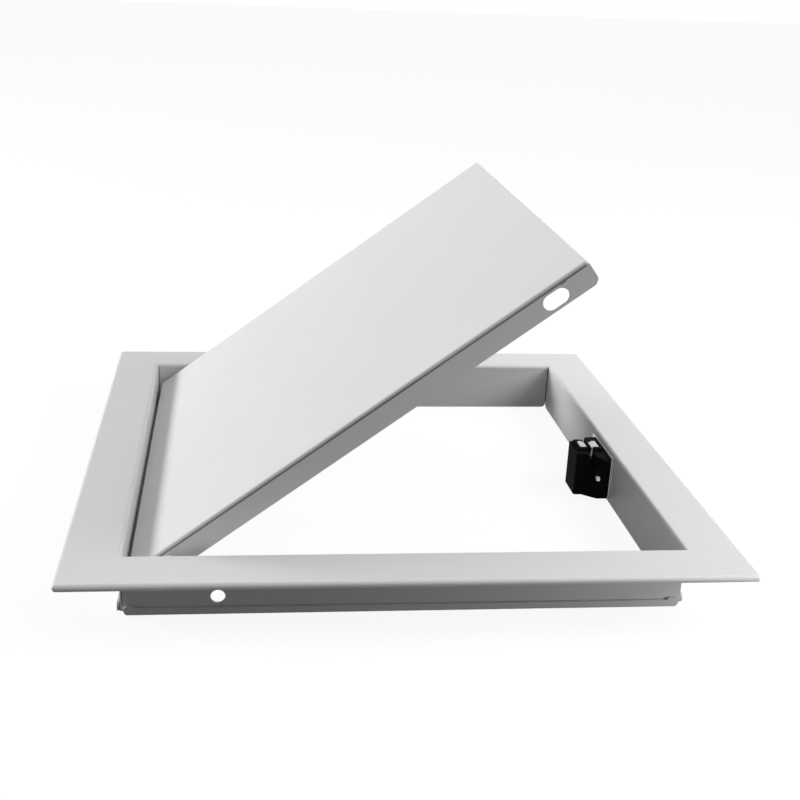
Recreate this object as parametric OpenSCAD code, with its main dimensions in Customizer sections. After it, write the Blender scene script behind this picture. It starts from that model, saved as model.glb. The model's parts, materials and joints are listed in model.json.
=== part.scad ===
// Ceiling access panel: a flanged frame, a tray door on two pivot pins, and a push latch with two jaws.
// Millimetres. The panel lies face up on the lower edges of its walls, with the door as far open as in use.
// X runs from the hinge side to the latch side, Y from the front wall to the rear wall, Z up.

/* [Frame] */
// Outer width and depth of the flange
frame_w = 350; // [250:1:700]
// Visible width of the flange, from its outer edge to the opening
flange_b = 30; // [20:0.5:45]
// Depth from the flange face to the lower edges of the walls
frame_h = 33; // [29:0.5:60]
// Thickness of the frame sheet
frame_t = 1.2; // [0.8:0.1:2]
// Inside radius of the fold between flange and wall
fold_r = 1; // [0.3:0.1:1.2]
// Width of the hem folded back under the flange
edge_hem_w = 9; // [5:0.5:14]
// Open width between the flange and its hem
edge_hem_gap = 1.6; // [0.6:0.1:2]
// Height of the hem folded up outside the foot of each wall
foot_hem_h = 4.25; // [3:0.25:6]
// Open width between a wall and its foot hem
foot_hem_gap = 0.5; // [0.4:0.1:1.8]
// Length that each foot hem stops short of the wall's end
foot_hem_inset = 0.6; // [0.4:0.2:12]
// Width of the open seam at each corner, from wall end to opening corner
seam = 0.1; // [0.1:0.05:1]
// Radius of the lower corners of the walls
wall_corner_r = 3; // [1:0.5:4]
// Diameter of the fixing hole in the front and rear walls
fix_d = 7.5; // [4:0.5:9]
// Distance of the fixing holes from the hinge wall
fix_x = 48; // [40:1:90]
// Height of the fixing holes above the feet
fix_z = 9.6; // [8.5:0.1:12]

/* [Door] */
// Gap between the closed door and the hinge wall
gap_hinge = 3; // [2.5:0.25:5]
// Gap between the closed door and the latch wall
gap_latch = 10; // [9:0.5:14]
// Gap between the closed door and the front and rear walls
gap_side = 4.5; // [3.5:0.25:7]
// Thickness of the door sheet
door_t = 1; // [0.8:0.1:1.5]
// Inside radius of the folds of the door
door_fold_r = 0.5; // [0.3:0.1:1.5]
// Depth of the door's skirt, from the face to its lower edge
skirt_h = 13.25; // [12.5:0.25:15]
// Radius of the lower corners of the skirts
skirt_corner_r = 4; // [1:0.5:5]
// Length of the slots in the skirts
slot_l = 14; // [10:0.5:16]
// Height of the slots in the skirts
slot_h = 8.2; // [7:0.1:8.4]
// Distance of the slot centres from the ends of the door
slot_x = 22.5; // [20:0.5:30]
// Depth of the slot centres below the door's face
slot_z = 7.9; // [7.4:0.1:8]
// Height of the crease under the folds of the door
crease_h = 1.1; // [0.5:0.1:1.2]
// Depth of the crease under the folds of the door
crease_d = 0.45; // [0.1:0.05:0.55]
// Distance of the small relief nick from the end of the door
nick_x = 13.6; // [12:0.2:14]
// Length of the relief nick
nick_l = 3.6; // [2:0.2:5]
// Height of the relief nick
nick_h = 1; // [0.6:0.1:1.5]
// Angle at which the door stands open, from closed
door_angle = 36.9; // [0:0.1:130]

/* [Hinge] */
// Diameter of the hinge pins
pin_d = 5; // [3:0.25:5]
// Radial clearance of a pin in its bush
pin_clear = 0.05; // [0.02:0.01:0.1]
// Diameter of the pin heads
pin_head_d = 9; // [8:0.5:11]
// Thickness of the pin heads
pin_head_t = 1.6; // [1:0.1:2.5]
// Outer diameter of the washers, spacers and clips
washer_d = 11; // [8:0.5:11]
// Thickness of the washers under the pin heads
washer_t = 0.8; // [0.5:0.1:1.5]
// Thickness of the bush flange inside the skirt
bush_flange_t = 1.5; // [1:0.1:2.5]
// Rim of the bush flange around the slot
bush_rim = 1.1; // [0.8:0.1:1.2]
// Thickness of the push-on clips
clip_t = 1.2; // [0.8:0.1:2]
// Free length between pieces of the hinge that turn past each other
hinge_play = 0.3; // [0.2:0.05:0.5]

/* [Latch] */
// Distance that the latch housing stands out from the wall
latch_out = 20; // [19.5:0.5:26]
// Width of the latch housing along the wall
latch_w = 21; // [20:0.5:30]
// Height of the latch from its floor to its rim
latch_h = 28; // [24:0.5:28.5]
// Depth of the rim of the latch below the flange face
latch_drop = 4.5; // [4:0.25:5]
// Width of the two prongs that stand above the rim
prong_w = 14; // [13:0.5:16]
// Depth of the top of the prongs below the flange face
prong_drop = 2; // [1.8:0.1:3]
// Distance of the outer face of the prongs from the skirt's middle
prong_out = 8.5; // [8.2:0.1:8.8]
// Distance of the back of the jaw bays from the skirt's middle
jaw_bay = 6.8; // [6.6:0.1:7]
// Wall of the latch housing
latch_wall = 1.6; // [1.2:0.1:1.8]
// Length of each ear along the wall
ear_l = 9.5; // [9:0.5:12]
// Thickness of the ears at their ends
ear_edge = 3; // [2:0.25:4]
// Distance of the front ends of the flanks from the wall
flank_u = 15; // [14:0.5:16]
// Radius of the corners of the ears
ear_r = 4; // [2:0.5:6]
// Depth of the screw seats in the flanks, from the packing plate
ear_t = 5; // [3:0.5:5.5]
// Thickness of the packing plate
plate_t = 1; // [0.6:0.1:1.2]
// Margin of the packing plate around the ears
plate_margin = 1.2; // [0.4:0.1:1.4]
// Diameter of the latch screws
screw_d = 3; // [2.5:0.5:3.5]
// Diameter of the heads of the latch screws
screw_head_d = 4.8; // [4.6:0.2:5]
// Depth of the latch screws below the flange face
screw_drop = 19; // [19:0.25:21]
// Diameter of the recesses of the screw heads
recess_d = 5.6; // [5.4:0.2:6.6]
// Half width of the gate that the door's skirt passes through
gate = 2; // [1.8:0.1:2.4]
// Depth of the floor of the gate below the closed skirt
gate_below = 1.8; // [1.6:0.1:2.2]
// Depth of the carriage's saddle below the closed skirt
saddle_below = 0.65; // [0.5:0.05:0.8]
// Height of the carriage
car_h = 7.1; // [7:0.1:7.4]
// Thickness of the flange that stops the carriage
car_flange_t = 1.5; // [1.2:0.1:1.6]
// Width of the ledge that stops the carriage
ledge_w = 0.8; // [0.6:0.1:0.9]
// Play around the moving pieces of the latch
play = 0.3; // [0.25:0.05:0.4]
// Thickness of the jaws
jaw_t = 2.6; // [2:0.1:2.6]
// Width of the jaws
jaw_w = 9; // [8:0.25:9.5]
// Angle between an open jaw and a closed one
jaw_angle = 4.9; // [4:0.1:5.5]
// Depth of the open jaw tips below the flange face
jaw_drop = 2; // [1.8:0.1:3]
// Depth of the jaw pivots below the flange face
jaw_pivot_drop = 18; // [17.8:0.1:18.2]
// Distance of the jaw pivots beyond the gate
jaw_inset = 2.1; // [2:0.05:2.2]
// Radius of the roots of the jaws
jaw_root_r = 1.8; // [1.7:0.05:1.9]
// Height of the hooks of the jaws
hook_h = 3.2; // [2.8:0.1:3.4]
// Distance of a closed hook from the middle of the skirt
hook_gap = 0.15; // [0.1:0.05:0.3]
// Diameter of the jaw pins
jaw_pin_d = 2; // [1.5:0.1:2]
// Wire of the latch spring
spring_wire = 0.8; // [0.5:0.1:0.9]
// Mean diameter of the latch spring
spring_d = 7; // [6.5:0.25:8]
// Turns of the latch spring
spring_turns = 3.5; // [2.5:0.5:4]
// Height of the spigots that hold the spring
boss_h = 1.2; // [0.8:0.1:1.4]
// Thickness of the nuts of the latch screws
nut_t = 2.4; // [2.2:0.1:3.4]
// Width of the nuts across flats
nut_af = 5.5; // [5.5:0.5:7]

/* [Hidden] */
$fn = 48;
eps = 0.02;
// Length by which folds and hems run into the sheets that they join
lap = 0.2;
inner = frame_w / 2 - flange_b;
fold_out = fold_r + frame_t;
wall_len = 2 * (inner - seam);
door_fold = door_fold_r + door_t;
// The closed door
door_x0 = -inner + gap_hinge;
door_x1 = inner - gap_latch;
door_len = door_x1 - door_x0;
door_mid = (door_x0 + door_x1) / 2;
door_hw = inner - gap_side;
crease_z = frame_h - door_fold - crease_h;
// The hinge line goes through the outer half-round ends of the hinge slots
pivot_x = door_x0 + slot_x - (slot_l - slot_h) / 2;
pivot_z = frame_h - slot_z;
// The hinge stack, measured inwards from the centre of the panel
spacer_in = door_hw + hinge_play;
bush_in = door_hw - door_t - bush_flange_t;
clip_out = bush_in - hinge_play;
clip_in = clip_out - clip_t;
pin_in = clip_in - 0.8;
// The latch, measured from the latch wall with u towards the opening
skirt_u = gap_latch + door_t / 2;
latch_u0 = plate_t;
cav_u0 = latch_u0 + latch_wall;
cav_u1 = latch_out - latch_wall;
cav_w = latch_w - 2 * latch_wall;
latch_z0 = frame_h - latch_drop - latch_h;
floor_t = latch_wall;
rim_z = frame_h - latch_drop;
prong_z = frame_h - prong_drop;
ears_w = latch_w + 2 * ear_l;
gate_z = frame_h - skirt_h - gate_below;
saddle_z = frame_h - skirt_h - saddle_below;
car_z0 = saddle_z - car_h;
ledge_z = car_z0 + car_flange_t + play;
car_w = cav_w - 2 * ledge_w - 2 * play;
jaw_pivot_z = frame_h - jaw_pivot_drop;
jaw_pivot_u = skirt_u - gate - jaw_inset;
jaw_tip_z = frame_h - jaw_drop;
spring_z0 = latch_z0 + floor_t;
spring_len = car_z0 - spring_z0;
screw_z = frame_h - screw_drop;
screw_y = latch_w / 2 + ear_l / 2;

white = [0.86, 0.86, 0.87];
black = [0.06, 0.06, 0.07];
zinc = [0.72, 0.73, 0.74];
nylon = [0.82, 0.81, 0.77];

// Helpers

// A sheet of thickness t standing on its edge along X, centred, with its lower corners rounded.
// Its face is at y = 0 and its thickness runs towards -Y.
module standing_sheet(len, z0, z1, t, r) {
    rotate([90, 0, 0])
        linear_extrude(t)
            union() {
                translate([-len / 2, z0 + r]) square([len, z1 - z0 - r]);
                translate([-len / 2 + r, z0]) square([len - 2 * r, r + eps]);
                for (s = [-1, 1])
                    translate([s * (len / 2 - r), z0 + r]) circle(r);
            }
}

// A quarter-round fold along X, centred, from a vertical sheet to a level one.
// Its centre is at the origin, and it curves from +Y up to +Z, with a short lap into the level sheet
// and, where asked, into the vertical one.
module fold(len, r_in, t, foot_lap = lap) {
    translate([-len / 2, 0, 0])
        rotate([90, 0, 90])
            linear_extrude(len)
                union() {
                    intersection() {
                        difference() {
                            circle(r_in + t);
                            circle(r_in);
                        }
                        square(r_in + t);
                    }
                    if (foot_lap > 0)
                        translate([r_in, -foot_lap]) square([t, foot_lap + eps]);
                    translate([-lap, r_in]) square([lap + eps, t]);
                }
}

// A slot with round ends, along X, through a wall that lies across Y.
module slot_y(len, h, depth) {
    rotate([90, 0, 0])
        translate([0, 0, -depth / 2])
            linear_extrude(depth)
                slot_2d(len, h);
}

module slot_2d(len, h) {
    square([len - h, h], center = true);
    for (s = [-1, 1])
        translate([s * (len - h) / 2, 0]) circle(h / 2);
}

// A disc or ring along Y between two distances from the centre, on the hinge line, on the front side.
module hinge_disc(d, y_in, y_out, bore = 0) {
    translate([pivot_x, -y_in, pivot_z])
        rotate([90, 0, 0])
            difference() {
                cylinder(d = d, h = y_out - y_in);
                if (bore > 0)
                    translate([0, 0, -1]) cylinder(d = bore, h = y_out - y_in + 2);
            }
}

// Turns a profile about the hinge line. Its second coordinate is the distance from the centre of the panel.
module on_hinge_line() {
    translate([pivot_x, 0, pivot_z])
        rotate([90, 0, 0])
            rotate_extrude() children();
}

module both_sides() {
    children();
    mirror([0, 1, 0]) children();
}

// Turns what is drawn closed into the door's open position.
module door_open() {
    translate([pivot_x, 0, pivot_z])
        rotate([0, -door_angle, 0])
            translate([-pivot_x, 0, -pivot_z])
                children();
}

// Latch coordinates: u from the latch wall into the opening, v along the wall, z up.
module on_latch_wall() {
    translate([inner, 0, 0]) mirror([1, 0, 0]) children();
}

module latch_box(u0, u1, w, z0, z1) {
    translate([u0, -w / 2, z0]) cube([u1 - u0, w, z1 - z0]);
}

// Extrudes a profile drawn in u and z along the latch wall, centred.
module latch_profile(w) {
    translate([0, w / 2, 0])
        rotate([90, 0, 0])
            linear_extrude(w) children();
}

// Frame

// One side of the frame: wall, fold and foot hem, for the front.
// The fold is mitred where it meets the folds of the next sides.
module frame_side() {
    hole = inner + fold_out;
    translate([0, -inner, 0]) {
        standing_sheet(wall_len, 0, frame_h - fold_out, frame_t, wall_corner_r);
        foot_hem(wall_len - 2 * foot_hem_inset);
    }
    intersection() {
        translate([0, -hole, frame_h - fold_out]) fold(2 * (hole + 2 * lap), fold_r, frame_t, 0);
        translate([0, 0, frame_h - 2 * fold_out])
            linear_extrude(3 * fold_out)
                polygon([[0, 0], [-frame_w, -frame_w], [frame_w, -frame_w]]);
    }
}

// The open hem outside the foot of a wall, with a rounded fold below and the wall's rounded lower corners.
module foot_hem(len) {
    hem_y = -frame_t - foot_hem_gap;
    intersection() {
        standing_sheet(len, 0, foot_hem_h, 3 * frame_t + foot_hem_gap, wall_corner_r);
        translate([-len / 2 - 1, hem_y, frame_t])
            rotate([90, 0, 90])
                linear_extrude(len + 2)
                    union() {
                        intersection() {
                            circle(frame_t);
                            translate([-frame_t, -frame_t]) square(frame_t);
                        }
                        translate([-frame_t, -eps]) square([frame_t, foot_hem_h]);
                        translate([-eps, -frame_t]) square([foot_hem_gap + lap + eps, frame_t]);
                    }
    }
}

// A square slab with rounded edges all round, centred on the origin.
module round_edged_slab(edge, r) {
    translate([-edge, -edge, -r]) cube([2 * edge, 2 * edge, 2 * r]);
    for (a = [0, 90, 180, 270])
        rotate([0, 0, a])
            translate([-edge, -edge, 0]) {
                rotate([0, 90, 0]) cylinder(r = r, h = 2 * edge);
                sphere(r = r);
            }
}

// The flange with its outer edge rolled back under itself.
module flange() {
    edge_r = frame_t + edge_hem_gap / 2;
    edge = frame_w / 2 - edge_r;
    hole = inner + fold_out;
    return_in = frame_w / 2 - edge_hem_w;
    difference() {
        translate([0, 0, frame_h - edge_r])
            difference() {
                round_edged_slab(edge, edge_r);
                round_edged_slab(edge, edge_hem_gap / 2);
            }
        translate([-hole, -hole, 0]) cube([2 * hole, 2 * hole, 2 * frame_h]);
        translate([-return_in, -return_in, frame_h - frame_t - 3 * edge_r])
            cube([2 * return_in, 2 * return_in, 3 * edge_r]);
    }
}

module frame_sheet() {
    color(white)
        difference() {
            union() {
                flange();
                for (a = [0, 90, 180, 270])
                    rotate([0, 0, a]) frame_side();
            }
            // Fixing holes and pivot holes in the front and rear walls
            both_sides() {
                translate([-inner + fix_x, -inner + 1, fix_z])
                    rotate([90, 0, 0]) cylinder(d = fix_d, h = frame_t + 2);
                translate([pivot_x, -inner + 1, pivot_z])
                    rotate([90, 0, 0]) cylinder(d = pin_d, h = frame_t + 2);
                // Latch screw holes in the latch wall
                translate([inner - 1, screw_y, screw_z])
                    rotate([0, 90, 0]) cylinder(d = screw_d, h = frame_t + 2);
            }
        }
}

// Door, drawn closed

// Front or rear skirt with its fold.
module door_long_side() {
    translate([door_mid, -door_hw, 0]) {
        translate([0, door_t, 0])
            standing_sheet(door_len, frame_h - skirt_h, frame_h - door_fold, door_t, skirt_corner_r);
        translate([0, door_fold, frame_h - door_fold])
            rotate([0, 0, 180]) fold(door_len - 2 * door_fold, door_fold_r, door_t);
    }
}

// Hinge or latch skirt with its fold, drawn for the hinge end.
module door_short_side() {
    width = 2 * (door_hw - door_t - seam);
    rotate([0, 0, -90])
        translate([0, door_t, 0]) {
            standing_sheet(width, frame_h - skirt_h, frame_h - door_fold, door_t, skirt_corner_r);
            translate([0, door_fold_r, frame_h - door_fold])
                rotate([0, 0, 180]) fold(2 * (door_hw - door_fold), door_fold_r, door_t);
        }
}

// Rounded corner of the face where two folds meet.
module door_corner() {
    intersection() {
        sphere(r = door_fold);
        translate([-door_fold, -door_fold, 0]) cube([door_fold + lap, door_fold + lap, door_fold]);
    }
}

module door_closed() {
    face_hw = door_hw - door_fold;
    difference() {
        union() {
            translate([door_x0 + door_fold, -face_hw, frame_h - door_t])
                cube([door_len - 2 * door_fold, 2 * face_hw, door_t]);
            both_sides() door_long_side();
            translate([door_x0, 0, 0]) door_short_side();
            translate([door_x1, 0, 0]) mirror([1, 0, 0]) door_short_side();
            both_sides() {
                translate([door_x0 + door_fold, -face_hw, frame_h - door_fold]) door_corner();
                translate([door_x1 - door_fold, -face_hw, frame_h - door_fold])
                    mirror([1, 0, 0]) door_corner();
            }
        }
        // Slots and relief nicks at both ends of the front and rear skirts
        both_sides()
            for (x = [door_x0 + slot_x, door_x1 - slot_x])
                translate([x, -door_hw + door_t / 2, frame_h - slot_z]) slot_y(slot_l, slot_h, door_t + 2);
        both_sides()
            for (x = [door_x0 + nick_x, door_x1 - nick_x - nick_l])
                translate([x, -door_hw - 1, crease_z - nick_h / 2])
                    cube([nick_l, 1 + door_t * 0.6, nick_h]);
        // Crease under each fold
        both_sides()
            translate([door_x0 - 1, -door_hw - 1, crease_z]) cube([door_len + 2, 1 + crease_d, crease_h]);
        for (x = [door_x0 - 1, door_x1 - crease_d])
            translate([x, -door_hw - 1, crease_z]) cube([1 + crease_d, 2 * door_hw + 2, crease_h]);
        // Slot for the latch jaws
        translate([door_x1 - door_t / 2, 0, frame_h - slot_z])
            rotate([0, 0, 90]) slot_y(slot_l, slot_h, door_t + 2);
    }
}

module door_tray() {
    color(white) door_open() door_closed();
}

// Hinge

// Headed pin with a chamfered tip, turned about the hinge line, drawn for the front.
module hinge_pin() {
    out = inner + frame_t + washer_t;
    r = pin_d / 2;
    head_r = pin_head_d / 2;
    tip = pin_in - pin_d * 0.15;
    on_hinge_line()
        polygon([[0, tip], [r * 0.7, tip], [r, pin_in], [r, out], [head_r, out],
                 [head_r, out + pin_head_t * 0.6], [head_r * 0.7, out + pin_head_t], [0, out + pin_head_t]]);
}

module hinge_pin_front() {
    color(zinc) hinge_pin();
}

module hinge_pin_rear() {
    color(zinc) mirror([0, 1, 0]) hinge_pin();
}

// Nylon bush: a boss that fills the slot, a flange inside the skirt and the bore of the pin.
module hinge_bush() {
    slot_mid = door_x0 + slot_x;
    difference() {
        union() {
            translate([slot_mid, -door_hw + (door_t + lap) / 2, pivot_z])
                slot_y(slot_l, slot_h, door_t + lap);
            translate([slot_mid, -door_hw + door_t + bush_flange_t / 2, pivot_z])
                slot_y(slot_l + 2 * bush_rim, slot_h + 2 * bush_rim, bush_flange_t);
        }
        translate([pivot_x, -bush_in + 1, pivot_z])
            rotate([90, 0, 0]) cylinder(d = pin_d + 2 * pin_clear, h = door_t + bush_flange_t + 2);
    }
}

module hinge_bush_front() {
    color(nylon) door_open() hinge_bush();
}

module hinge_bush_rear() {
    color(nylon) mirror([0, 1, 0]) door_open() hinge_bush();
}

module hinge_spacers() {
    color(nylon) both_sides() hinge_disc(washer_d, spacer_in, inner, pin_d);
}

module hinge_washers() {
    color(zinc) both_sides() hinge_disc(washer_d, inner + frame_t, inner + frame_t + washer_t, pin_d);
}

// Push-on clip: a ring with a raised rim.
module hinge_clips() {
    r = (washer_d - 1) / 2;
    web = clip_out - clip_t / 2;
    color(zinc)
        both_sides()
            on_hinge_line()
                polygon([[pin_d / 2, clip_out], [pin_d / 2, web], [r - 1, web],
                         [r - 1, clip_in], [r, clip_in], [r, clip_out]]);
}

// Latch

module latch_packing_plate() {
    plate_w = ears_w + 2 * plate_margin;
    color(zinc)
        on_latch_wall()
            difference() {
                latch_box(0, plate_t, plate_w, latch_z0 + 2, frame_h - latch_drop + plate_margin);
                both_sides()
                    translate([-1, screw_y, screw_z])
                        rotate([0, 90, 0]) cylinder(d = screw_d, h = plate_t + 2);
            }
}

// The housing's outline from above: body with rounded inner edges, and flanks that slope out to the ears.
module housing_plan() {
    body_r = 1.5;
    edge_u = latch_u0 + ear_edge;
    translate([latch_u0, -latch_w / 2]) square([latch_out - latch_u0 - body_r, latch_w]);
    translate([latch_u0, -latch_w / 2 + body_r])
        square([latch_out - latch_u0, latch_w - 2 * body_r]);
    for (s = [-1, 1])
        translate([latch_out - body_r, s * (latch_w / 2 - body_r)]) circle(body_r);
    polygon([[latch_u0, -ears_w / 2], [edge_u - 0.8, -ears_w / 2], [edge_u, -ears_w / 2 + 0.8],
             [flank_u, -latch_w / 2], [flank_u, latch_w / 2],
             [edge_u, ears_w / 2 - 0.8], [edge_u - 0.8, ears_w / 2], [latch_u0, ears_w / 2]]);
}

// The housing's outline from the opening, with rounded corners on the ears.
module housing_front() {
    translate([-ears_w / 2, latch_z0 + ear_r]) square([ears_w, latch_h - 2 * ear_r]);
    translate([-ears_w / 2 + ear_r, latch_z0]) square([ears_w - 2 * ear_r, latch_h]);
    for (s = [-1, 1], z = [latch_z0 + ear_r, rim_z - ear_r])
        translate([s * (ears_w / 2 - ear_r), z]) circle(ear_r);
}

// One prong above the rim, on the opening's side of the skirt, with a sloped outer face.
module prong() {
    base_z = rim_z - 1;
    latch_profile(prong_w)
        polygon([[skirt_u + gate - eps, base_z], [skirt_u + prong_out, base_z], [skirt_u + prong_out, rim_z],
                 [skirt_u + prong_out - 0.6, prong_z - 0.6], [skirt_u + prong_out - 1.2, prong_z],
                 [skirt_u + gate - eps, prong_z]]);
}

module latch_housing() {
    color(black)
        on_latch_wall()
            difference() {
                union() {
                    intersection() {
                        translate([0, 0, latch_z0]) linear_extrude(latch_h) housing_plan();
                        rotate([90, 0, 90]) linear_extrude(latch_out + 1) housing_front();
                    }
                    prong();
                    translate([2 * skirt_u, 0, 0]) mirror([1, 0, 0]) prong();
                }
                // Cavity of the carriage, narrower above the ledge that stops it, with the jaw bays on top
                latch_box(cav_u0, cav_u1, cav_w, latch_z0 - 1, ledge_z);
                latch_box(cav_u0, cav_u1, cav_w - 2 * ledge_w, ledge_z - eps, saddle_z + play);
                latch_box(skirt_u - jaw_bay, skirt_u + jaw_bay, jaw_w + 2 * play, saddle_z, frame_h);
                // Gate through which the door's skirt passes
                latch_box(skirt_u - gate, skirt_u + gate, ears_w + 2, gate_z, frame_h);
                // Screw holes and the recesses of the screw heads in the flanks
                both_sides()
                    translate([0, screw_y, screw_z])
                        rotate([0, 90, 0]) {
                            cylinder(d = screw_d, h = latch_out);
                            translate([0, 0, latch_u0 + ear_t]) cylinder(d = recess_d, h = latch_out);
                        }
            }
}

// Floor of the housing with a spigot for the spring.
module latch_cover() {
    color(black)
        on_latch_wall() {
            latch_box(cav_u0, cav_u1, cav_w, latch_z0, latch_z0 + floor_t);
            translate([skirt_u, 0, latch_z0 + floor_t - eps])
                cylinder(d = spring_d - spring_wire - 0.6, h = boss_h + eps);
        }
}

module latch_screws() {
    head_u = latch_u0 + ear_t;
    end_u = -frame_t - nut_t - 0.6;
    r = screw_d / 2;
    head_r = screw_head_d / 2;
    color(zinc)
        on_latch_wall()
            both_sides()
                translate([0, screw_y, screw_z])
                    rotate([0, 90, 0])
                        difference() {
                            rotate_extrude()
                                polygon([[0, end_u], [r, end_u], [r, head_u], [head_r, head_u],
                                         [head_r * 0.75, head_u + 2], [0, head_u + 2]]);
                            // Cross recess
                            for (a = [0, 90])
                                rotate([0, 0, a])
                                    translate([-screw_d / 2, -0.4, head_u + 0.9]) cube([screw_d, 0.8, 2]);
                        }
}

module latch_nuts() {
    color(zinc)
        on_latch_wall()
            both_sides()
                translate([-frame_t - nut_t, screw_y, screw_z])
                    rotate([0, 90, 0])
                        difference() {
                            cylinder(d = nut_af / cos(30), h = nut_t, $fn = 6);
                            translate([0, 0, -1]) cylinder(d = screw_d, h = nut_t + 2);
                        }
}

// Closed-end spring drawn as a stack of slanted rings joined by the rule of the helix.
module latch_spring() {
    steps = 12;
    total = floor(spring_turns * steps);
    rise = (spring_len - spring_wire) / total;
    color(zinc)
        on_latch_wall()
            translate([skirt_u, 0, spring_z0 + spring_wire / 2])
                for (i = [0 : total - 1])
                    helix_step(i * 360 / steps, (i + 1) * 360 / steps, i * rise, (i + 1) * rise);
}

// One straight piece of the spring wire between two points of the helix.
module helix_step(a0, a1, z0, z1) {
    p = [spring_d / 2 * cos(a0), spring_d / 2 * sin(a0), z0];
    q = [spring_d / 2 * cos(a1), spring_d / 2 * sin(a1), z1];
    v = q - p;
    translate(p)
        rotate([0, acos(v[2] / norm(v)), atan2(v[1], v[0])])
            cylinder(d = spring_wire, h = norm(v), $fn = 8);
    translate(q) sphere(d = spring_wire, $fn = 8);
}

// Carriage: saddle for the skirt, cheeks for the jaw pins, and a flange that the ledge stops.
module latch_slider() {
    pocket = jaw_pivot_u - jaw_root_r - play;
    color(black)
        on_latch_wall()
            difference() {
                union() {
                    latch_box(cav_u0 + play, cav_u1 - play, car_w, car_z0, saddle_z);
                    latch_box(cav_u0 + play, cav_u1 - play, cav_w - 2 * play, car_z0, car_z0 + car_flange_t);
                    translate([skirt_u, 0, car_z0 - boss_h])
                        cylinder(d = spring_d - spring_wire - 0.6, h = boss_h + eps);
                }
                // Pockets and pin holes of the two jaws
                for (side = [0, 1])
                    translate([side * 2 * skirt_u, 0, 0])
                        mirror([side, 0, 0]) {
                            latch_box(-1, jaw_pivot_u + jaw_root_r + play, jaw_w + 2 * play,
                                      jaw_pivot_z - jaw_root_r - play, saddle_z + 1);
                            translate([jaw_pivot_u, car_w, jaw_pivot_z])
                                rotate([90, 0, 0]) cylinder(d = jaw_pin_d, h = 2 * car_w);
                        }
            }
}

module jaw_pins() {
    color(zinc)
        on_latch_wall()
            for (u = [jaw_pivot_u, 2 * skirt_u - jaw_pivot_u])
                translate([u, car_w / 2, jaw_pivot_z])
                    rotate([90, 0, 0]) cylinder(d = jaw_pin_d, h = car_w);
}

// One jaw on the wall side of the skirt, drawn closed: root, arm and hook.
module jaw_closed() {
    arm_u1 = jaw_pivot_u + jaw_root_r;
    arm_u0 = arm_u1 - jaw_t;
    tip_u = skirt_u - hook_gap;
    difference() {
        latch_profile(jaw_w)
            union() {
                translate([jaw_pivot_u, jaw_pivot_z]) circle(jaw_root_r);
                translate([arm_u0, jaw_pivot_z]) square([jaw_t, jaw_tip_z - jaw_pivot_z - hook_h]);
                polygon([[arm_u0, jaw_tip_z - hook_h - eps], [arm_u1, jaw_tip_z - hook_h - eps],
                         [tip_u, jaw_tip_z - hook_h * 0.62], [tip_u, jaw_tip_z - hook_h * 0.38],
                         [arm_u1, jaw_tip_z], [arm_u0 + 0.6, jaw_tip_z], [arm_u0, jaw_tip_z - 0.6]]);
            }
        translate([jaw_pivot_u, jaw_w, jaw_pivot_z])
            rotate([90, 0, 0]) cylinder(d = jaw_pin_d + 2 * pin_clear, h = 2 * jaw_w);
    }
}

module jaw_open() {
    translate([jaw_pivot_u, 0, jaw_pivot_z])
        rotate([0, -jaw_angle, 0])
            translate([-jaw_pivot_u, 0, -jaw_pivot_z]) jaw_closed();
}

module jaw_outer() {
    color(zinc) on_latch_wall() jaw_open();
}

module jaw_inner() {
    color(zinc)
        on_latch_wall()
            translate([2 * skirt_u, 0, 0]) mirror([1, 0, 0]) jaw_open();
}

frame_sheet();
door_tray();
hinge_pin_front();
hinge_pin_rear();
hinge_bush_front();
hinge_bush_rear();
hinge_spacers();
hinge_washers();
hinge_clips();
latch_packing_plate();
latch_housing();
latch_cover();
latch_screws();
latch_nuts();
latch_spring();
latch_slider();
jaw_pins();
jaw_inner();
jaw_outer();
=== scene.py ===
"""Ceiling access panel: a folded, powder-coated frame with a hinged tray door and a black touch latch."""
import json
import logging
import math
from dataclasses import dataclass, field
from enum import Enum

import bpy
from mathutils import Matrix, Vector


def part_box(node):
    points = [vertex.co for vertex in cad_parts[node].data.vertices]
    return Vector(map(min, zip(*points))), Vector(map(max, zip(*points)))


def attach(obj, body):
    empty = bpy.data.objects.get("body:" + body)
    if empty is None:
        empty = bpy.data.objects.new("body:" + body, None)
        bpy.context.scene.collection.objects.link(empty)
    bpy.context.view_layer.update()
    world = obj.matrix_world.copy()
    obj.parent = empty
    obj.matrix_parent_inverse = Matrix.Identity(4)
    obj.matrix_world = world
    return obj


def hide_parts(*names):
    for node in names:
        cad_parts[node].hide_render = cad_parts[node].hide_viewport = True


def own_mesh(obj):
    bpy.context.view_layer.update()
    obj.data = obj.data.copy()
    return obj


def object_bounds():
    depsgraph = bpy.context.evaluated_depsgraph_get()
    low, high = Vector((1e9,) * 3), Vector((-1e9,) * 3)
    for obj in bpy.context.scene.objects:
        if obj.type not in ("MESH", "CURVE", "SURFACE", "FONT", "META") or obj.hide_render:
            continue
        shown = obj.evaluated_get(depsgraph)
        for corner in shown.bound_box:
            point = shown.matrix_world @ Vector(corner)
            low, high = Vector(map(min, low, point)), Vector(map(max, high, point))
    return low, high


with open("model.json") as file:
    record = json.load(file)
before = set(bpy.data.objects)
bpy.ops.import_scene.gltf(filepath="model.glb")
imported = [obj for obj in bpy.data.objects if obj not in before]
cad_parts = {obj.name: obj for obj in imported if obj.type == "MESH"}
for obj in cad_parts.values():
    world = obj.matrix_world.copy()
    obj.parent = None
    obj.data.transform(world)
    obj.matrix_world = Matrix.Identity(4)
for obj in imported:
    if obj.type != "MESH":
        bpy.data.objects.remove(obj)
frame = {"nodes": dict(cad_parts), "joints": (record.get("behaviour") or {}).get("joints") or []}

LOG = logging.getLogger("access_panel")
CAD_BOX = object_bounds()
MM = 0.001

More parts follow.
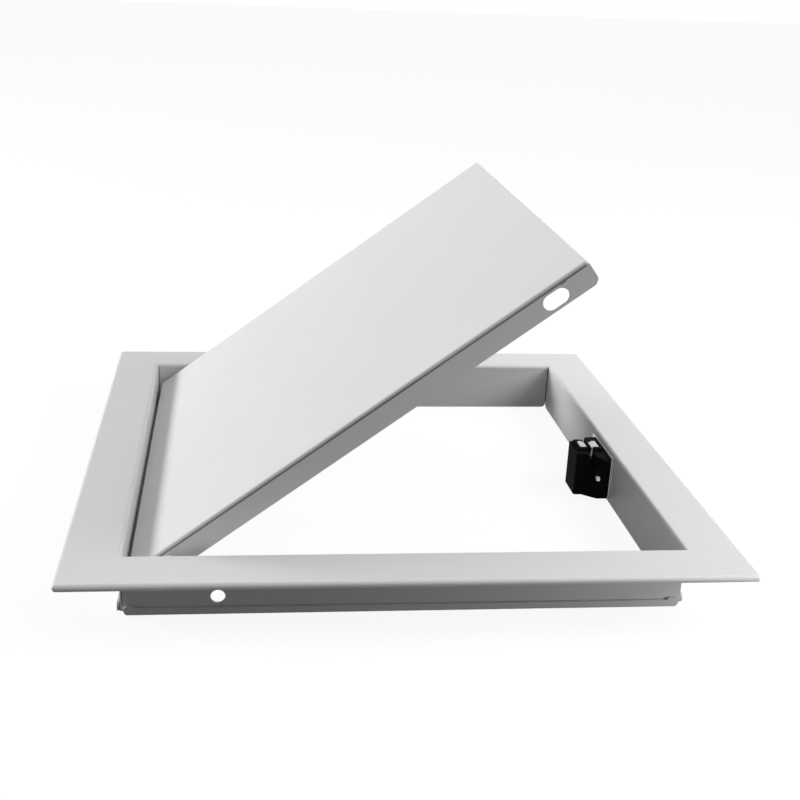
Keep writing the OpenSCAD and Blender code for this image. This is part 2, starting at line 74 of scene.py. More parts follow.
# Sockets of Blender's Mix node, which has its A and B once for each kind of data
MIX_NUMBERS = (2, 3)
MIX_COLOURS = (6, 7)
MIX_COLOUR_RESULT = 2

# Rounded edges of the small CAD nodes
WELD_GAP = 2e-6
EDGE_SEGMENTS = 2
EDGE_ANGLE = math.radians(40)
FACE_WEIGHT = 60

Colour = tuple[float, float, float, float]
Span = tuple[float, float]
Face = tuple[int, ...]
Feed = float | Colour | bpy.types.NodeSocket


class Slot(Enum):
    """Material slots of the record."""

    COAT = "powder_coat"
    ZINC = "zinc"
    SPRING = "spring_steel"
    NYLON = "nylon"
    BLACK = "black_plastic"


class Body(Enum):
    """Bodies of the panel that pieces ride on."""

    FRAME = "frame"
    DOOR = "door"


def grey(level: float, warm: float = 0.0) -> Colour:
    """Makes a near-neutral colour.

    Args:
        level: Linear brightness.
        warm: Share by which red goes up and blue goes down.

    Returns:
        A linear colour with alpha 1.
    """
    return (level * (1 + warm), level, level * (1 - warm), 1.0)


class NodeSheet:
    """Small helper that adds and links shader nodes in one tree."""

    def __init__(self, tree: bpy.types.NodeTree) -> None:
        """Keeps the tree that nodes are added to."""
        self.tree = tree

    def add(self, kind: str, **settings: object) -> bpy.types.Node:
        """Adds a node.

        Args:
            kind: Blender's name of the node type.
            settings: Attributes to set on the new node.

        Returns:
            The new node.
        """
        node = self.tree.nodes.new(kind)
        for name, value in settings.items():
            setattr(node, name, value)
        return node

    def link(self, source: bpy.types.NodeSocket, target: bpy.types.NodeSocket) -> None:
        """Joins an output to an input."""
        self.tree.links.new(source, target)

    def feed(self, value: Feed, target: bpy.types.NodeSocket) -> None:
        """Links a socket to an input, or sets a plain number or colour on it.

        Args:
            value: The socket, number or colour.
            target: The input that takes it.
        """
        if isinstance(value, bpy.types.NodeSocket):
            self.link(value, target)
        else:
            target.default_value = value

    def maths(self, operation: str, a: Feed, b: Feed) -> bpy.types.NodeSocket:
        """Adds a Math node.

        Args:
            operation: The operation's name.
            a: First number or socket.
            b: Second number or socket.

        Returns:
            The node's output.
        """
        node = self.add("ShaderNodeMath", operation=operation)
        self.feed(a, node.inputs[0])
        self.feed(b, node.inputs[1])
        return node.outputs[0]

    def noise(self, vector: bpy.types.NodeSocket, scale: bpy.types.NodeSocket, detail: float,
              roughness: float = 0.5) -> bpy.types.NodeSocket:
        """Adds a noise texture.

        Args:
            vector: Coordinates in metres.
            scale: The noise's scale.
            detail: Octaves.
            roughness: Weight of the finer octaves.

        Returns:
            The noise's value.
        """
        node = self.add("ShaderNodeTexNoise")
        self.link(vector, node.inputs["Vector"])
        self.link(scale, node.inputs["Scale"])
        node.inputs["Detail"].default_value = detail
        node.inputs["Roughness"].default_value = roughness
        return node.outputs[0]

    def remap(self, value: bpy.types.NodeSocket, source: Span,
              target: Span = (0.0, 1.0)) -> bpy.types.NodeSocket:
        """Adds a clamped Map Range node.

        Args:
            value: The value to map.
            source: Start and end of its range.
            target: What the start and the end become.

        Returns:
            The mapped value.
        """
        node = self.add("ShaderNodeMapRange")
        self.link(value, node.inputs["Value"])
        for name, number in zip(("From Min", "From Max", "To Min", "To Max"), source + target):
            node.inputs[name].default_value = number
        return node.outputs["Result"]

    def mix(self, factor: bpy.types.NodeSocket, a: Feed, b: Feed) -> bpy.types.NodeSocket:
        """Adds a colour mix.

        Args:
            factor: Share of the second colour.
            a: First colour or socket.
            b: Second colour or socket.

        Returns:
            The mixed colour.
        """
        node = self.add("ShaderNodeMix", data_type="RGBA")
        self.link(factor, node.inputs[0])
        for index, value in zip(MIX_COLOURS, (a, b)):
            self.feed(value, node.inputs[index])
        return node.outputs[MIX_COLOUR_RESULT]


class EffectGroup:
    """Base of the shader node groups that several finishes share."""

    title = "effect"
    inputs: tuple[tuple[str, float], ...] = ()
    outputs: tuple[str, ...] = ()

    def tree(self) -> bpy.types.NodeTree:
        """Builds the group once.

        Returns:
            The group's node tree.
        """
        found = bpy.data.node_groups.get(self.title)
        if found:
            return found
        tree = bpy.data.node_groups.new(self.title, "ShaderNodeTree")
        for name, value in self.inputs:
            socket = tree.interface.new_socket(name, in_out="INPUT", socket_type="NodeSocketFloat")
            socket.default_value = value
        for name in self.outputs:
            tree.interface.new_socket(name, in_out="OUTPUT", socket_type="NodeSocketFloat")
        sheet = NodeSheet(tree)
        start = sheet.add("NodeGroupInput")
        end = sheet.add("NodeGroupOutput")
        self.fill(sheet, start, end)
        return tree

    def fill(self, sheet: NodeSheet, start: bpy.types.Node, end: bpy.types.Node) -> None:
        """Adds the nodes between the group's inputs and outputs.

        Args:
            sheet: The group's nodes.
            start: The group's input node.
            end: The group's output node.
        """
        raise NotImplementedError

    def place(self, sheet: NodeSheet, **values: float) -> bpy.types.Node:
        """Puts the group in a material.

        Args:
            sheet: The material's nodes.
            values: Inputs that differ from the group's own values.

        Returns:
            The group node.
        """
        node = sheet.add("ShaderNodeGroup", node_tree=self.tree())
        for name, value in values.items():
            node.inputs[name.replace("_", " ").capitalize()].default_value = value
        return node


class ToneDrift(EffectGroup):
    """Broad, faint change of tone over a sheet or a moulding."""

    title = "tone drift"
    inputs = (("Patch size", 0.06), ("Contrast", 0.5))
    outputs = ("Drift",)
    broad_octaves = 3.0
    medium_octaves = 2.0
    medium_finer = 5.0
    broad_share = 0.7
    medium_share = 0.3
    middle = 0.5
    gain = 3.0

    def fill(self, sheet: NodeSheet, start: bpy.types.Node, end: bpy.types.Node) -> None:
        """Sums a broad and a medium noise.

        Args:
            sheet: The group's nodes.
            start: The group's input node.
            end: The group's output node.
        """
        place = sheet.add("ShaderNodeTexCoord").outputs["Object"]
        scale = sheet.maths("DIVIDE", 1.0, start.outputs["Patch size"])
        broad = sheet.noise(place, scale, self.broad_octaves)
        medium_scale = sheet.maths("MULTIPLY", scale, self.medium_finer)
        medium = sheet.noise(place, medium_scale, self.medium_octaves)
        total = sheet.maths("ADD", sheet.maths("MULTIPLY", broad, self.broad_share),
                            sheet.maths("MULTIPLY", medium, self.medium_share))
        centred = sheet.maths("SUBTRACT", total, self.middle)
        spread = sheet.maths("MULTIPLY", centred, start.outputs["Contrast"])
        result = sheet.add("ShaderNodeClamp")
        wide = sheet.maths("MULTIPLY", spread, self.gain)
        sheet.link(sheet.maths("ADD", wide, self.middle), result.inputs[0])
        sheet.link(result.outputs[0], end.inputs["Drift"])


class SurfaceGrain(EffectGroup):
    """Fine relief of a coat or a moulding: soft cells with a finer grain on them."""

    title = "surface grain"
    inputs = (("Cell size", 0.0012), ("Fine share", 0.3))
    outputs = ("Height", "Speckle")
    cell_octaves = 1.0
    fine_octaves = 2.0
    fine_roughness = 0.6
    finer = 5.0
    speckle_range = (0.35, 0.65)

    def fill(self, sheet: NodeSheet, start: bpy.types.Node, end: bpy.types.Node) -> None:
        """Mixes a soft cell noise with a noise five times finer.

        Args:
            sheet: The group's nodes.
            start: The group's input node.
            end: The group's output node.
        """
        place = sheet.add("ShaderNodeTexCoord").outputs["Object"]
        scale = sheet.maths("DIVIDE", 1.0, start.outputs["Cell size"])
        cells = sheet.noise(place, scale, self.cell_octaves)
        fine_scale = sheet.maths("MULTIPLY", scale, self.finer)
        fine = sheet.noise(place, fine_scale, self.fine_octaves, self.fine_roughness)
        share = start.outputs["Fine share"]
        rest = sheet.maths("SUBTRACT", 1.0, share)
        height = sheet.maths("ADD", sheet.maths("MULTIPLY", cells, rest),
                             sheet.maths("MULTIPLY", fine, share))
        sheet.link(height, end.inputs["Height"])
        sheet.link(sheet.remap(fine, self.speckle_range), end.inputs["Speckle"])


class DustFilm(EffectGroup):
    """Thin dust that settles on faces that look up."""

    title = "dust film"
    inputs = (("Amount", 0.2), ("Patch size", 0.03))
    outputs = ("Mask",)
    upward_range = (0.2, 0.95)
    patch_octaves = 5.0
    patch_roughness = 0.62
    cover_range = (0.38, 0.72)

    def fill(self, sheet: NodeSheet, start: bpy.types.Node, end: bpy.types.Node) -> None:
        """Multiplies the upward share of the normal by a patchy noise.

        Args:
            sheet: The group's nodes.
            start: The group's input node.
            end: The group's output node.
        """
        normal = sheet.add("ShaderNodeNewGeometry").outputs["Normal"]
        split = sheet.add("ShaderNodeSeparateXYZ")
        sheet.link(normal, split.inputs[0])
        upward = sheet.remap(split.outputs["Z"], self.upward_range)
        place = sheet.add("ShaderNodeTexCoord").outputs["Object"]
        scale = sheet.maths("DIVIDE", 1.0, start.outputs["Patch size"])
        patches = sheet.noise(place, scale, self.patch_octaves, self.patch_roughness)
        cover = sheet.remap(patches, self.cover_range)
        mask = sheet.maths("MULTIPLY", sheet.maths("MULTIPLY", upward, cover), start.outputs["Amount"])
        sheet.link(mask, end.inputs["Mask"])


@dataclass(frozen=True)
class Finish:
    """A finish: colours, gloss and the strength of the shared effects on it."""

    title: str
    light: Colour
    dark: Colour
    roughness: float
    roughness_spread: float
    metallic: float = 0.0
    specular: float = 0.5
    patch: float = 0.06
    contrast: float = 0.5
    cell: float = 0.0012
    fine_share: float = 0.3
    relief: float = 0.1
    relief_depth: float = 0.0002
    dust: float = 0.0
    dust_colour: Colour = (0.55, 0.53, 0.5, 1.0)
    drift_in_gloss: float = 0.6
    speckle_in_gloss: float = 0.4

    def material(self) -> bpy.types.Material:
        """Makes the material once.

        Returns:
            The material of this finish.
        """
        found = bpy.data.materials.get(self.title)
        if found:
            return found
        made = bpy.data.materials.new(self.title)
        made.use_nodes = True
        sheet = NodeSheet(made.node_tree)
        shader = made.node_tree.nodes["Principled BSDF"]
        shader.inputs["Specular IOR Level"].default_value = self.specular
        shader.inputs["Metallic"].default_value = self.metallic
        drift = ToneDrift().place(sheet, patch_size=self.patch, contrast=self.contrast)
        grain = SurfaceGrain().place(sheet, cell_size=self.cell, fine_share=self.fine_share)
        colour = sheet.mix(drift.outputs["Drift"], self.dark, self.light)
        if self.dust > 0:
            film = DustFilm().place(sheet, amount=self.dust)
            colour = sheet.mix(film.outputs["Mask"], colour, self.dust_colour)
        sheet.link(colour, shader.inputs["Base Color"])
        mottled = sheet.maths("ADD", sheet.maths("MULTIPLY", drift.outputs["Drift"], self.drift_in_gloss),
                              sheet.maths("MULTIPLY", grain.outputs["Speckle"], self.speckle_in_gloss))
        gloss = sheet.remap(mottled, (0.0, 1.0), (self.roughness - self.roughness_spread,
                                                  self.roughness + self.roughness_spread))
        sheet.link(gloss, shader.inputs["Roughness"])
        bump = sheet.add("ShaderNodeBump")
        bump.inputs["Strength"].default_value = self.relief
        bump.inputs["Distance"].default_value = self.relief_depth
        sheet.link(grain.outputs["Height"], bump.inputs["Height"])
        sheet.link(bump.outputs["Normal"], shader.inputs["Normal"])
        return made


COAT = Finish("white powder coat", light=grey(0.735, -0.004), dark=grey(0.69, -0.004), roughness=0.5,
              roughness_spread=0.05, specular=0.35, patch=0.09, contrast=0.55, cell=0.0011, fine_share=0.3,
              relief=0.16, relief_depth=0.00012, dust=0.05, dust_colour=(0.6, 0.59, 0.57, 1.0))
# Painted shade: dark strips laid in the inner corner seams and low on the hinge wall, standing in for the
# shade there.
PAINTED_SEAM_SHADE = Finish("shade in the corner seams", light=grey(0.16), dark=grey(0.09), roughness=0.7,
              roughness_spread=0.06, specular=0.1, patch=0.01, contrast=0.8, cell=0.0008, fine_share=0.4,
              relief=0.1, relief_depth=0.0001)
# Painted shade: dark strips in the door's crease under the folds and in its nicks, standing in for the
# shade there.
PAINTED_CREASE_SHADE = Finish("shade in the crease", light=grey(0.36), dark=grey(0.24), roughness=0.7,
                roughness_spread=0.06, specular=0.1, patch=0.05, contrast=0.8, cell=0.0008, fine_share=0.4,
                relief=0.1, relief_depth=0.0001)
BLACK = Finish("black moulding", light=grey(0.013), dark=grey(0.009), roughness=0.62, roughness_spread=0.08,
               specular=0.012, patch=0.012, contrast=0.7, cell=0.0006, fine_share=0.5, relief=0.25,
               relief_depth=0.00012, dust=0.035, dust_colour=(0.2, 0.19, 0.18, 1.0))
BLACK_EDGE = Finish("black moulding on its edges", light=grey(0.014), dark=grey(0.008), roughness=0.42,
                    roughness_spread=0.06, specular=0.2, patch=0.006, contrast=0.9, cell=0.0006,
                    fine_share=0.5, relief=0.15, relief_depth=0.0001)
ZINC = Finish("zinc-plated steel", light=grey(0.66, -0.01), dark=grey(0.5, -0.01), roughness=0.36,
              roughness_spread=0.1, metallic=1.0, patch=0.004, contrast=0.9, cell=0.0005, fine_share=0.4,
              relief=0.12, relief_depth=0.00008)
SPRING = Finish("spring wire", light=grey(0.42, 0.01), dark=grey(0.3, 0.01), roughness=0.28,
                roughness_spread=0.06, metallic=1.0, patch=0.003, contrast=0.8, cell=0.0004, fine_share=0.5,
                relief=0.1, relief_depth=0.00005)
NYLON = Finish("natural nylon", light=grey(0.7, 0.004), dark=grey(0.65, 0.006), roughness=0.46,
               roughness_spread=0.06, specular=0.45, patch=0.006, contrast=0.6, cell=0.0006, fine_share=0.3,
               relief=0.12, relief_depth=0.00008, dust=0.06)


def dress_node(name: str, finish: Finish, edge: Finish | None = None,
               round_edges: float = 0.0) -> None:
    """Gives a CAD node its finish and, where asked, slightly rounded edges.

    Args:
        name: The node's name.
        finish: Finish of its faces.
        edge: Finish of its rounded edges.
        round_edges: Width of the rounding, in metres.
    """
    node = frame["nodes"][name]
    node.data.materials.clear()
    node.data.materials.append(finish.material())
    if round_edges > 0:
        node.data.materials.append((edge or finish).material())
        weld = node.modifiers.new("join faces", "WELD")
        weld.merge_threshold = WELD_GAP
        bevel = node.modifiers.new("soft edges", "BEVEL")
        bevel.width = round_edges
        bevel.segments = EDGE_SEGMENTS
        bevel.limit_method = "ANGLE"
        bevel.angle_limit = EDGE_ANGLE
        bevel.use_clamp_overlap = True
        bevel.material = 1
        normals = node.modifiers.new("even normals", "WEIGHTED_NORMAL")
        normals.keep_sharp = False
        normals.weight = FACE_WEIGHT
    LOG.info("dressed %s in %s", name, finish.title)


def new_piece(title: str, vertices: list[Vector], faces: list[Face], finish: Finish,
              smooth: bool = True) -> bpy.types.Object:
    """Makes a mesh piece.

    Args:
        title: The piece's name.
        vertices: Points in metres.
        faces: Corners of each face.
        finish: Its finish.
        smooth: Whether its faces are shaded smooth.

    Returns:
        The new object, linked into the scene.
    """
    mesh = bpy.data.meshes.new(title)
    mesh.from_pydata([tuple(v) for v in vertices], [], faces)
    mesh.materials.append(finish.material())
    mesh.update()
    if smooth:
        mesh.polygons.foreach_set("use_smooth", [True] * len(mesh.polygons))
    made = bpy.data.objects.new(title, mesh)
    bpy.context.scene.collection.objects.link(made)
    return made


BLOCK_FACES = ((0, 3, 2, 1), (4, 5, 6, 7), (0, 1, 5, 4), (1, 2, 6, 5), (2, 3, 7, 6), (3, 0, 4, 7))


def in_order(a: float, b: float) -> Span:
    """Puts two places along one axis in order."""
    return (min(a, b), max(a, b))


def block_corners(x: Span, y: Span, z: Span) -> list[Vector]:
    """Lists the corners of a block.

    Args:
        x: Its ends along X.
        y: Its ends along Y.
        z: Its ends along Z.

    Returns:
        Four lower corners and the four above them.
    """
    ring = ((x[0], y[0]), (x[1], y[0]), (x[1], y[1]), (x[0], y[1]))
    return [Vector((a, b, height)) for height in z for a, b in ring]


def block_mesh(blocks: list[list[Vector]]) -> tuple[list[Vector], list[Face]]:
    """Joins blocks into one mesh.

    Args:
        blocks: Eight corners for each block.

    Returns:
        Points and faces of all the blocks.
    """
    vertices: list[Vector] = []
    faces: list[Face] = []
    for corners in blocks:
        start = len(vertices)
        vertices += corners
        faces += [tuple(start + k for k in face) for face in BLOCK_FACES]
    return vertices, faces


@dataclass
class PanelFrame:
    """The folded frame with its flange and walls."""

    flange: float = 30.0 * MM
    seam_width: float = 0.8 * MM
    seam_seat: float = 0.3 * MM
    seam_foot: float = 4.5 * MM
    seam_top: float = 31.2 * MM
    strip_half_thickness: float = 0.3 * MM
    strip_half_length: float = 139.0 * MM
    strip_rise: Span = (7.5 * MM, 14.0 * MM)

    def build(self) -> None:
        """Makes painted shade: dark strips in the four inner corner seams and a dark strip low on the hinge
        wall.
        """
        low, high = CAD_BOX
        hinge_wall = low[0] + self.flange
        latch_wall = high[0] - self.flange
        front_wall = low[1] + self.flange
        rear_wall = high[1] - self.flange
        strip_x = (hinge_wall - self.strip_half_thickness, hinge_wall + self.strip_half_thickness)
        strip_y = (-self.strip_half_length, self.strip_half_length)
        blocks = [block_corners(strip_x, strip_y, self.strip_rise)]
        reach = self.seam_width - self.seam_seat
        for x, turn_x in ((hinge_wall, 1), (latch_wall, -1)):
            for y, turn_y in ((front_wall, 1), (rear_wall, -1)):
                span_x = in_order(x - turn_x * self.seam_seat, x + turn_x * reach)
                span_y = in_order(y - turn_y * self.seam_seat, y + turn_y * reach)
                blocks.append(block_corners(span_x, span_y, (self.seam_foot, self.seam_top)))
        vertices, faces = block_mesh(blocks)
        # Painted shade: these dark strips stand in for shade in the corner seams and under the door's hinge
        # edge.
        made = new_piece("frame_painted_shade_lines", vertices, faces, PAINTED_SEAM_SHADE, smooth=False)
        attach(made, Body.FRAME.value)
        LOG.info("built frame_painted_shade_lines")

    def dress(self) -> None:
        """Coats the frame."""
        dress_node("frame_sheet", COAT)


@dataclass(frozen=True)
class GrooveLine:
    """Section and end distance of a painted shade line that lies in a groove."""

    end: float
    sink: float
    depth: float
    top: float
    height: float

    @property
    def rise(self) -> Span:
        """Its lower and upper height."""
        return (self.top - self.height, self.top)


@dataclass
class TrayDoor:
    """The tray door with its hinge bushes."""

    bush_edge: float = 0.2 * MM
    crease_top: float = 1.5 * MM
    crease_height: float = 1.1 * MM
    crease_depth: float = 0.45 * MM
    line_sink: float = 0.1 * MM
    line_end: float = 1.7 * MM
    nick_place: float = 13.6 * MM
    nick_length: float = 3.6 * MM
    nick_height: float = 1.0 * MM
    nick_depth: float = 0.6 * MM

    def build(self) -> None:
        """Makes painted shade: dark strips in the crease under the folds and in the relief nicks."""
        hinge = next(joint for joint in frame["joints"] if joint["name"] == "door_hinge")
        pivot = Vector(hinge["pos_m"])
        opening = Matrix.Rotation(math.radians(-hinge["range_deg"][0]), 3, Vector(hinge["axis"]))
        closing = opening.transposed()
        tray = frame["nodes"]["door_tray"]
        place = tray.matrix_world
        points = [closing @ (place @ v.co - pivot) + pivot for v in tray.data.vertices]
        low = Vector([min(p[axis] for p in points) for axis in range(3)])
        high = Vector([max(p[axis] for p in points) for axis in range(3)])
        crease_top = high.z - self.crease_top
        crease_foot = crease_top - self.crease_height
        line = GrooveLine(self.line_end, self.line_sink, self.crease_depth, crease_top, self.crease_height)
        nick = GrooveLine(self.nick_place, self.line_sink, self.nick_depth, crease_foot,
                          self.nick_height / 2)
        closed = self.blocks(low, high, line, nick)
        opened = [[opening @ (corner - pivot) + pivot for corner in corners] for corners in closed]
        vertices, faces = block_mesh(opened)
        # Painted shade: these dark strips stand in for shade in the crease and the nicks.
        made = new_piece("door_painted_crease_shade", vertices, faces, PAINTED_CREASE_SHADE, smooth=False)
        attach(made, Body.DOOR.value)
        LOG.info("built door_painted_crease_shade")

    def blocks(self, low: Vector, high: Vector, line: GrooveLine, nick: GrooveLine) -> list[list[Vector]]:
        """Places the blocks on the closed door.

        Args:
            low: Lowest corner of the closed door.
            high: Highest corner of the closed door.
            line: The line in the crease.
            nick: The line in a nick.

        Returns:
            Eight corners for each block.
        """
        made = []
        for face, inward in ((low.y, 1), (high.y, -1)):
            span = in_order(face + inward * line.sink, face + inward * line.depth)
            made.append(block_corners((low.x + line.end, high.x - line.end), span, line.rise))
            span = in_order(face + inward * nick.sink, face + inward * nick.depth)
            for start in (low.x + nick.end, high.x - nick.end - self.nick_length):
                made.append(block_corners((start, start + self.nick_length), span, nick.rise))
        for face, inward in ((low.x, 1), (high.x, -1)):
            span = in_order(face + inward * line.sink, face + inward * line.depth)
            made.append(block_corners(span, (low.y + line.end, high.y - line.end), line.rise))
        return made

    def dress(self) -> None:
        """Coats the door and dresses the bushes."""
        dress_node("door_tray", COAT)
        for name in ("hinge_bush_front", "hinge_bush_rear"):
            dress_node(name, NYLON, NYLON, self.bush_edge)


@dataclass
class HingeHardware:
    """Pins, spacers, washers and clips of the two hinge points."""

    edge: float = 0.15 * MM
    steel: tuple[str, ...] = ("hinge_pin_front", "hinge_pin_rear", "hinge_washers", "hinge_clips")

    def dress(self) -> None:
        """Plates the steel pieces and dresses the nylon spacers."""
        for name in self.steel:
            dress_node(name, ZINC, ZINC, self.edge)
        dress_node("hinge_spacers", NYLON, NYLON, self.edge)


@dataclass
class TouchLatch:
    """The black touch latch on the latch wall, with its spring and fixings."""

    edge: float = 0.35 * MM
    inner_edge: float = 0.2 * MM
    small_edge: float = 0.15 * MM
    wire: float = 0.8 * MM
    turns: float = 3.5
    coil: float = 7.0 * MM
    travel: float = 5.5 * MM
    black: tuple[str, ...] = ("latch_housing", "latch_cover", "latch_slider")
    steel: tuple[str, ...] = ("latch_packing_plate", "latch_screws", "latch_nuts",
                              "jaw_pins", "jaw_inner", "jaw_outer")
    around: int = 14
    along: int = 40

    def build(self) -> None:
        """Makes the spring as a smooth coil with closed ends, in place of the faceted solid."""
        low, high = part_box("latch_spring")
        centre = (low + high) / 2
        height = high.z - low.z - self.wire
        count = int(self.along * self.turns)
        radius = self.coil / 2
        points = []
        for i in range(count + 1):
            share = i / count
            angle = 2 * math.pi * self.turns * share
            points.append(Vector((centre.x + radius * math.cos(angle), radius * math.sin(angle),
                                  low.z + self.wire / 2 + height * share)))
        vertices, faces = self.tube(points)
        coil = new_piece("latch_spring_coil", vertices, faces, SPRING)
        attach(coil, Body.FRAME.value)
        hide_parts("latch_spring")
        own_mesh(coil)
        LOG.info("built latch_spring_coil")

    def tube(self, points: list[Vector]) -> tuple[list[Vector], list[Face]]:
        """Sweeps a round wire along points.

        Args:
            points: The wire's centre line.

        Returns:
            Vertices and faces of the wire.
        """
        vertices: list[Vector] = []
        faces: list[Face] = []
        up = Vector((0, 0, 1))
        for i, point in enumerate(points):
            ahead = points[min(i + 1, len(points) - 1)] - points[max(i - 1, 0)]
            side = ahead.cross(up).normalized()
            over = side.cross(ahead).normalized()
            for k in range(self.around):
                turn = 2 * math.pi * k / self.around
                vertices.append(point + (side * math.cos(turn) + over * math.sin(turn)) * self.wire / 2)
        for i in range(len(points) - 1):
            for k in range(self.around):
                a = i * self.around + k
                b = i * self.around + (k + 1) % self.around
                faces.append((a, b, b + self.around, a + self.around))
        faces.append(tuple(reversed(range(self.around))))
        last = (len(points) - 1) * self.around
        faces.append(tuple(range(last, last + self.around)))
        return vertices, faces

    def dress(self) -> None:
        """Dresses the black and the plated pieces."""
        for name in self.black:
            width = self.edge if name == "latch_housing" else self.inner_edge
            dress_node(name, BLACK, BLACK_EDGE, width)
        for name in self.steel:
            dress_node(name, ZINC, ZINC, self.small_edge)
        dress_node("latch_spring", SPRING)


@dataclass(frozen=True)
class SoftLamp:
    """A round, soft lamp that the camera does not see."""

    title: str
    place: tuple[float, float, float]
    aim: tuple[float, float, float]
    power: float
    size: float

    def build(self) -> None:
        """Makes the lamp."""
        data = bpy.data.lights.new(self.title, "AREA")
        data.shape = "DISK"
        data.energy = self.power
        data.size = self.size
        made = bpy.data.objects.new(self.title, data)
        made.location = self.place
        path = Vector(self.aim) - Vector(self.place)
        made.rotation_euler = path.to_track_quat("-Z", "Y").to_euler()
        made.visible_camera = False
        bpy.context.scene.collection.objects.link(made)


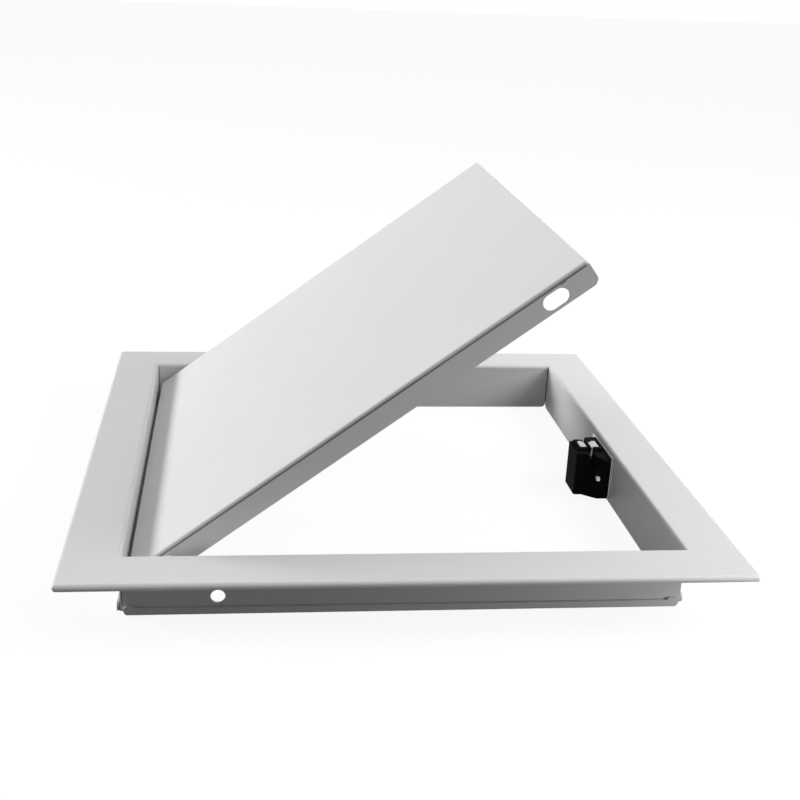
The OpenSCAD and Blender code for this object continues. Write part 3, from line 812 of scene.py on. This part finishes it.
@dataclass
class Studio:
    """Camera, floor and light."""

    eye: tuple[float, float, float] = (-0.08733, -0.68097, 0.31998)
    pitch: float = 108.919
    yaw: float = -5.851
    roll: float = 0.278
    focal_pixels: float = 1187.9
    picture: int = 800
    crop_pixels: tuple[float, float] = (40.0, 40.0)
    sensor: float = 36.0
    clip: Span = (0.01, 100.0)
    floor_size: float = 14.0
    floor_drop: float = 0.2 * MM
    floor_tone: float = 0.12
    floor_glow: float = 0.91
    floor_bounce: float = 0.10
    even_light: float = 0.012
    left_light: float = 0.67
    top_light: float = 0.82
    top_focus: float = 3.0
    lamps: tuple[SoftLamp, ...] = (
        SoftLamp("key", (-2.26, 0.95, 0.50), (0.0, 0.0, 0.05), 41.5, 0.8),
        SoftLamp("second_key", (-2.45, 0.30, 0.45), (0.0, 0.0, 0.05), 10.5, 0.8),
        SoftLamp("right", (1.10, 0.0, 0.75), (0.0, 0.0, 0.02), 7.8, 0.9),
        SoftLamp("front_right", (0.80, -0.30, 0.60), (0.0, 0.0, 0.02), 4.7, 0.6),
        SoftLamp("low_fill", (0.28, -0.26, 0.02), (0.05, -0.15, 0.012), 0.155, 0.06),
    )

    def camera(self) -> None:
        """Makes the camera at the photograph's place."""
        data = bpy.data.cameras.new("camera")
        data.sensor_width = self.sensor
        data.lens = self.focal_pixels / self.picture * data.sensor_width
        data.shift_x = self.crop_pixels[0] / self.picture
        data.shift_y = -self.crop_pixels[1] / self.picture
        data.clip_start, data.clip_end = self.clip
        made = bpy.data.objects.new("camera", data)
        bpy.context.scene.collection.objects.link(made)
        turn = Matrix.Rotation(math.radians(self.roll), 3, "Z")
        turn = turn @ Matrix.Rotation(math.radians(self.yaw), 3, "Y")
        turn = turn @ Matrix.Rotation(math.radians(self.pitch), 3, "X")
        # The fitted camera has Y down and looks along +Z, Blender's has Y up and looks along -Z
        place = (turn.transposed() @ Matrix.Diagonal(Vector((1, -1, -1)))).to_4x4()
        place.translation = Vector(self.eye)
        made.matrix_world = place
        bpy.context.scene.camera = made

    def seen(self, sheet: NodeSheet) -> bpy.types.NodeSocket:
        """Adds a mask of the rays that see the background.

        Args:
            sheet: Nodes of the floor or the world.

        Returns:
            1 for camera, glossy and transmission rays, otherwise 0.
        """
        path = sheet.add("ShaderNodeLightPath")
        total = sheet.maths("ADD", path.outputs["Is Camera Ray"], path.outputs["Is Glossy Ray"])
        return sheet.maths("MINIMUM", sheet.maths("ADD", total, path.outputs["Is Transmission Ray"]), 1.0)

    def floor(self) -> None:
        """Makes a pale floor that keeps the panel's shadow."""
        half = self.floor_size / 2
        corners = [(x * half, y * half, -self.floor_drop) for x, y in ((-1, -1), (1, -1), (1, 1), (-1, 1))]
        mesh = bpy.data.meshes.new("floor")
        mesh.from_pydata(corners, [], [(0, 1, 2, 3)])
        made = bpy.data.objects.new("floor", mesh)
        bpy.context.scene.collection.objects.link(made)
        paint = bpy.data.materials.new("floor")
        paint.use_nodes = True
        sheet = NodeSheet(paint.node_tree)
        paint.node_tree.nodes.remove(paint.node_tree.nodes["Principled BSDF"])
        output = paint.node_tree.nodes["Material Output"]
        shown = sheet.add("ShaderNodeBsdfDiffuse")
        shown.inputs["Color"].default_value = grey(self.floor_tone)
        glow = sheet.add("ShaderNodeEmission")
        glow.inputs["Color"].default_value = grey(self.floor_glow)
        both = sheet.add("ShaderNodeAddShader")
        sheet.link(shown.outputs[0], both.inputs[0])
        sheet.link(glow.outputs[0], both.inputs[1])
        bounce = sheet.add("ShaderNodeBsdfDiffuse")
        bounce.inputs["Color"].default_value = grey(self.floor_bounce)
        choose = sheet.add("ShaderNodeMixShader")
        sheet.link(self.seen(sheet), choose.inputs[0])
        sheet.link(bounce.outputs[0], choose.inputs[1])
        sheet.link(both.outputs[0], choose.inputs[2])
        sheet.link(choose.outputs[0], output.inputs["Surface"])
        mesh.materials.append(paint)

    def world(self) -> None:
        """Lights the panel weakly from above and low on the left."""
        made = bpy.data.worlds.new("studio")
        made.use_nodes = True
        bpy.context.scene.world = made
        sheet = NodeSheet(made.node_tree)
        background = made.node_tree.nodes["Background"]
        split = sheet.add("ShaderNodeSeparateXYZ")
        sheet.link(sheet.add("ShaderNodeTexCoord").outputs["Generated"], split.inputs[0])
        rise = sheet.maths("MAXIMUM", split.outputs["Z"], 0.0)
        leftward = sheet.maths("MAXIMUM", sheet.maths("MULTIPLY", split.outputs["X"], -1.0), 0.0)
        left = sheet.maths("MULTIPLY", leftward, sheet.maths("SUBTRACT", 1.0, rise))
        top = sheet.maths("POWER", rise, self.top_focus)
        light = sheet.maths("ADD", sheet.maths("MULTIPLY", left, self.left_light),
                            sheet.maths("MULTIPLY", top, self.top_light))
        light = sheet.maths("ADD", light, self.even_light)
        mixed = sheet.add("ShaderNodeMix", data_type="FLOAT")
        sheet.link(self.seen(sheet), mixed.inputs[0])
        for index, value in zip(MIX_NUMBERS, (light, 1.0)):
            sheet.feed(value, mixed.inputs[index])
        background.inputs["Color"].default_value = grey(1.0)
        sheet.link(mixed.outputs[0], background.inputs["Strength"])

    def build(self) -> None:
        """Makes the whole studio."""
        self.camera()
        self.floor()
        self.world()
        for lamp in self.lamps:
            lamp.build()
        bpy.context.scene.view_settings.view_transform = "Standard"
        LOG.info("built the studio")


@dataclass
class AccessPanel:
    """The whole panel."""

    sheet_frame: PanelFrame = field(default_factory=PanelFrame)
    door: TrayDoor = field(default_factory=TrayDoor)
    hinges: HingeHardware = field(default_factory=HingeHardware)
    latch: TouchLatch = field(default_factory=TouchLatch)

    def build(self) -> None:
        """Builds and dresses every sub-assembly in order."""
        self.sheet_frame.dress()
        self.sheet_frame.build()
        self.door.dress()
        self.door.build()
        self.hinges.dress()
        self.latch.dress()
        self.latch.build()


def main() -> None:
    """Builds the studio and the panel."""
    logging.basicConfig(level=logging.INFO, format="%(name)s: %(message)s")
    Studio().build()
    AccessPanel().build()
    bpy.context.view_layer.update()


if __name__ == "__main__":
    main()
